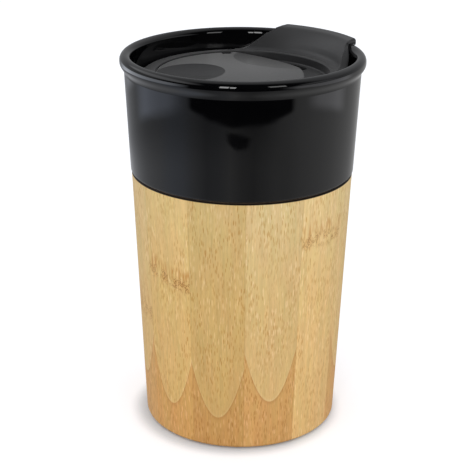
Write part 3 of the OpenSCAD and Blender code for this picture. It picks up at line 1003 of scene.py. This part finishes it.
def crease_dial():
    """Marks the edges where the dish or the ramp meets the crown, so that they stay crisp."""
    mesh = turning_dial.data
    near = 0.006
    on_crown = [
        abs(v.co.z / MM - crown_z(math.hypot(v.co.x, v.co.y) / MM)) < near
        if math.hypot(v.co.x, v.co.y) < (dial_r - 0.1) * MM else False
        for v in mesh.vertices
    ]
    on_bowl = [
        [abs((v.co / MM - Vector(middle)).length - radius) < near for v in mesh.vertices]
        for middle, radius, share in dial_hollows.values()
    ]
    for edge in mesh.edges:
        one, two = edge.vertices
        edge.select = any(bowl[one] and bowl[two] for bowl in on_bowl) and (
            (on_crown[one] and on_crown[two])
            or all(bowl[one] and bowl[two] for bowl in on_bowl)
        )
    select_only(turning_dial)
    bpy.context.tool_settings.mesh_select_mode = (False, True, False)
    bpy.ops.object.mode_set(mode="EDIT")
    bpy.ops.mesh.mark_sharp()
    bpy.ops.object.mode_set(mode="OBJECT")


crease_dial()
settle(turning_dial, 32)
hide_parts("dial")
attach(turning_dial, "dial")


def measure(material, operation, first, second=(0, 0, 0)):
    """A number worked out from vectors, such as a length or a distance."""
    return add_node(
        material, "ShaderNodeVectorMath", operation=operation, inputs={0: first, 1: second}
    ).outputs["Value"]


# Shade is painted into the dish and the ramp: their base colour is blended towards a darker grey,
# and their sheen and specular are lowered as well.
dial_plastic = satin_plastic("dial_plastic", linear(34, 34, 35), 0.3, 0.45)
hollowed = 0.0
for middle, radius, share in dial_hollows.values():
    from_middle = measure(dial_plastic, "DISTANCE", place_in_mm(dial_plastic), middle)
    from_ball = calculate(
        dial_plastic, "ABSOLUTE", calculate(dial_plastic, "SUBTRACT", from_middle, radius)
    )
    hollow_painted_shade_mask = smooth_step(dial_plastic, from_ball, 0.04, 0.012, 0.0, share)
    hollowed = calculate(dial_plastic, "MAXIMUM", hollowed, hollow_painted_shade_mask)
dial_shader = dial_plastic.node_tree.nodes["Principled BSDF"]
dial_links = dial_plastic.node_tree.links
dial_base = dial_shader.inputs["Base Color"].links[0].from_socket
# Painted shade: the base colour goes to a darker grey in the dish and the ramp.
dial_links.new(
    blend_colours(dial_plastic, hollowed, dial_base, linear(20, 20, 21)),
    dial_shader.inputs["Base Color"],
)
dial_links.new(
    calculate(dial_plastic, "MULTIPLY_ADD", hollowed, -0.45, 0.45),
    dial_shader.inputs["Sheen Weight"],
)
dial_links.new(
    calculate(dial_plastic, "MULTIPLY_ADD", hollowed, -0.3, 0.5),
    dial_shader.inputs["Specular IOR Level"],
)
turning_dial.data.materials.append(dial_plastic)
nodes_of_frame["dial_retainer"].material_slots[0].material = dial_plastic


# Seals and foot
# Soft silicone for the gasket and the pad under the dial, rubber for the pad under the foot, and
# a bamboo disc that closes the sleeve. They are pressed or glued in their seats.
soft_silicone = satin_plastic("soft_silicone", linear(40, 40, 42), 0.6)
foot_rubber = satin_plastic("foot_rubber", linear(30, 30, 31), 0.8)
nodes_of_frame["lid_gasket"].material_slots[0].material = soft_silicone
nodes_of_frame["dial_seal"].material_slots[0].material = soft_silicone
nodes_of_frame["foot_pad"].material_slots[0].material = foot_rubber
nodes_of_frame["base_disc"].material_slots[0].material = bamboo("base_disc", 4, True)


# Camera
# The cup was photographed from half a metre away and a little above, with a long lens. It looks
# along the direction that lies 45 degrees from the spout's, so the spout shows at the right.
camera_direction = math.radians(-135)
camera_reach = 484.25 * MM
camera_height = 257.8 * MM
camera_turn = math.radians(45.286)
camera_tilt = math.radians(20.959)
camera_roll = math.radians(0.401)
camera_lens = 103.64
scene = bpy.context.scene
scene.view_settings.view_transform = "Standard"
camera = bpy.data.objects.new("camera", bpy.data.cameras.new("camera"))
camera.data.lens = camera_lens
camera.data.sensor_width = 36
camera.data.clip_start = 0.01
camera.matrix_world = (
    Matrix.Translation((
        camera_reach * math.cos(camera_direction),
        camera_reach * math.sin(camera_direction),
        camera_height,
    ))
    @ Matrix.Rotation(camera_turn - math.pi / 2, 4, "Z")
    @ Matrix.Rotation(math.pi / 2 - camera_tilt, 4, "X")
    @ Matrix.Rotation(camera_roll, 4, "Z")
)
scene.collection.objects.link(camera)
scene.camera = camera


# Studio
# A white table in a white room, with two narrow soft boxes in front and one at the side. The room
# is dark on the camera's side, and so is the table's far end there, which the black glaze mirrors.
bpy.ops.object.select_all(action="DESELECT")
bpy.ops.mesh.primitive_plane_add(size=8)
table = bpy.context.object
table.name = "table"
table_material, table_nodes, table_links = new_material("white_table")
table_nodes.remove(table_nodes["Principled BSDF"])
table_paths = add_node(table_material, "ShaderNodeLightPath")
table_place = place_in_mm(table_material, camera_direction)
table_parts = parts_of(table_material, table_place)
table_reach = measure(table_material, "LENGTH", table_place)
table_turn = calculate(
    table_material, "MULTIPLY",
    calculate(table_material, "ARCTAN2", table_parts["Y"], table_parts["X"]), 180 / math.pi,
)


def choose(material, share, first, second):
    """Shows the second shader to the rays that the share picks, and the first to all others."""
    return add_node(
        material, "ShaderNodeMixShader",
        inputs={0: share, 1: first.outputs[0], 2: second.outputs[0]},
    )


def seen_in_glaze(turn, level):
    """Brightness of the table on one side of the cup, a little bluer on the left."""
    blue = 0.1 if -80 < turn < -50 else 0.04 if turn < -15 else 0.0
    return (turn / 360 + 0.5, (level * (1 - blue), level * (1 - blue / 3), level * (1 + blue), 1))


# How bright the table is where a glossy piece mirrors it, by the turn from the camera's side.
table_levels = ramp(
    table_material,
    calculate(table_material, "MULTIPLY_ADD", table_turn, 1 / 360, 0.5),
    [seen_in_glaze(turn, level) for turn, level in [
        (-179, 0.5), (-132, 0.47), (-106, 0.46), (-87, 0.5), (-71, 0.52), (-58, 0.5), (-45, 0.37),
        (-33, 0.25), (-22, 0.28), (-11, 0.34), (0, 0.24), (11, 0.2), (22, 0.27), (33, 0.38),
        (45, 0.44), (57, 0.53), (71, 0.58), (86, 0.59), (104, 0.57), (130, 0.46), (179, 0.5),
    ]],
)
table_near = calculate(
    table_material, "MULTIPLY_ADD",
    smooth_step(table_material, table_reach, 375.0, 290.0),
    smooth_step(table_material, table_turn, 45.0, 15.0, 0.0, 0.5),
    smooth_step(table_material, table_turn, 45.0, 15.0, 1.0, 0.8),
)
table_colour = blend_colours(table_material, 1.0, table_levels, table_near, "MULTIPLY")
# What is mirrored past the table's edge: the dark in front, and a pale window on each side.
cards = [
    # turn from, turn to, softness, reach, bow, softness, strength, colour
    (-50.0, 48.0, 3.5, 359.0, 0.0145, 5.0, 0.98, (0.0, 0.0, 0.0, 1)),
    (-113.0, -64.0, 12.0, 393.0, 0.0, 14.0, 1.0, (0.9, 0.98, 1.16, 1)),
    (-140.0, -60.0, 14.0, 500.0, 0.0, 40.0, 1.0, (1.9, 2.0, 2.2, 1)),
    (68.0, 108.0, 10.0, 400.0, 0.001, 11.0, 0.85, (1.3, 1.3, 1.35, 1)),
    (45.0, 110.0, 14.0, 500.0, 0.0, 40.0, 1.0, (1.15, 1.15, 1.2, 1)),
]
for left, right, edge, reach, bow, fade, share, colour in cards:
    wide = calculate(
        table_material, "MULTIPLY",
        smooth_step(table_material, table_turn, left - edge, left + edge),
        smooth_step(table_material, table_turn, right + edge, right - edge),
    )
    bowed_reach = calculate(
        table_material, "MULTIPLY_ADD",
        calculate(table_material, "MULTIPLY", table_turn, table_turn), -bow, table_reach,
    )
    card = calculate(
        table_material, "MULTIPLY", wide,
        smooth_step(table_material, bowed_reach, reach - fade, reach + fade),
    )
    table_colour = marked(table_material, table_colour, card, share, colour)
# A small dark thing on the table, which shows as a speckled spot in the glaze.
table_spot = measure(
    table_material, "DISTANCE", stretched(table_material, table_place, (1.6, 0.3, 1.0)),
    (539.0, -6.0, 0.0),
)
table_spot = calculate(
    table_material, "MULTIPLY_ADD", noise(table_material, table_place, 0.3, 4), 36.0, table_spot
)
table_colour = blend_colours(
    table_material, smooth_step(table_material, table_spot, 40.0, 34.0, 0.0, 0.9),
    table_colour, (0.01, 0.01, 0.01, 1),
)
mirrored = add_node(
    table_material, "ShaderNodeEmission", inputs={"Color": table_colour, "Strength": 1}
)
table_white = add_node(
    table_material, "ShaderNodeBsdfDiffuse", inputs={"Color": (0.61, 0.62, 0.64, 1)}
)
table_lit = add_node(
    table_material, "ShaderNodeBsdfDiffuse", inputs={"Color": (0.8, 0.86, 0.93, 1)}
)
# Close to the foot the glow fades out, which paints a shadow ring round the cup; in it the real
# shadow of the diffuse light shows. The ring's middle is set a little off the axis.
painted_shadow_gap = measure(table_material, "DISTANCE", table_place, (1.0, -1.6, 0.0))
glow = add_node(
    table_material, "ShaderNodeEmission",
    inputs={
        "Color": (0.37, 0.34, 0.33, 1),
        "Strength": smooth_step(table_material, painted_shadow_gap, 35.5, 43.0, 0.0, 1.06),
    },
)
table_sum = add_node(
    table_material, "ShaderNodeAddShader", inputs={0: table_lit.outputs[0], 1: glow.outputs[0]}
)
table_seen = choose(
    table_material, table_paths.outputs["Is Camera Ray"], table_white, table_sum
)
table_mix = choose(table_material, table_paths.outputs["Is Glossy Ray"], table_seen, mirrored)
table_links.new(table_mix.outputs[0], table_nodes["Material Output"].inputs["Surface"])
table.data.materials.append(table_material)

room = bpy.data.worlds.new("room")
scene.world = room
room.use_nodes = True
room.node_tree.nodes.remove(room.node_tree.nodes["Background"])
room_paths = add_node(room, "ShaderNodeLightPath")
room_way = add_node(room, "ShaderNodeTexCoord").outputs["Generated"]
room_height = parts_of(room, room_way)["Z"]


def towards(turn):
    """How far a direction points to one side, given by its turn from the camera's side."""
    side = camera_direction + math.radians(turn)
    return measure(room, "DOT_PRODUCT", room_way, (math.cos(side), math.sin(side), 0))


room_glow = calculate(
    room, "MULTIPLY", smooth_step(room, towards(180), -0.45, 0.1, 0.01, 0.6),
    smooth_step(room, room_height, 0.3, 0.6, 0.6, 0.9),
)
for turn, low, high, level, foot, head in (
    (-97, 0.4, 0.74, 1.3, 0.25, 0.5), (75, 0.86, 0.96, 0.6, 0.03, 0.12)
):
    room_glow = calculate(room, "MAXIMUM", room_glow, calculate(
        room, "MULTIPLY", smooth_step(room, towards(turn), low, high, 0.0, level),
        smooth_step(room, room_height, foot, head),
    ))
room_mirrored = add_node(room, "ShaderNodeBackground", inputs={
    "Color": (0.98, 0.99, 1.02, 1), "Strength": room_glow
})
room_light = add_node(
    room, "ShaderNodeBackground", inputs={"Color": (1, 1, 1, 1), "Strength": 0.82}
)
room_white = add_node(room, "ShaderNodeBackground", inputs={"Color": (1, 1, 1, 1), "Strength": 1})
room_glossy = choose(room, room_paths.outputs["Is Glossy Ray"], room_light, room_mirrored)
room_mix = choose(room, room_paths.outputs["Is Camera Ray"], room_glossy, room_white)
room.node_tree.links.new(
    room_mix.outputs[0], room.node_tree.nodes["World Output"].inputs["Surface"]
)


def soft_box(name, turn, elevation, wide, high, radiance):
    """A soft box that points at the middle of the cup; its turn is from the camera's side."""
    lamp = bpy.data.objects.new(name, bpy.data.lights.new(name, "AREA"))
    lamp.data.shape = "RECTANGLE"
    lamp.data.size = wide
    lamp.data.size_y = high
    lamp.data.energy = math.pi * wide * high * radiance
    direction = camera_direction + math.radians(turn)
    box_reach = 1.3
    aim = Vector((0, 0, cup_h / 2 * MM))
    way = Vector((
        math.cos(math.radians(elevation)) * math.cos(direction),
        math.cos(math.radians(elevation)) * math.sin(direction),
        math.sin(math.radians(elevation)),
    ))
    facing = way.to_track_quat("Z", "Y").to_matrix().to_4x4()
    lamp.matrix_world = Matrix.Translation(aim + way * box_reach) @ facing
    scene.collection.objects.link(lamp)


soft_box("front_box", -16.3, 16, 0.18, 0.6, 6.5)
soft_box("second_box", -8.4, 14, 0.12, 0.5, 6.5)
soft_box("side_box", 32, 23, 0.34, 0.42, 2.5)
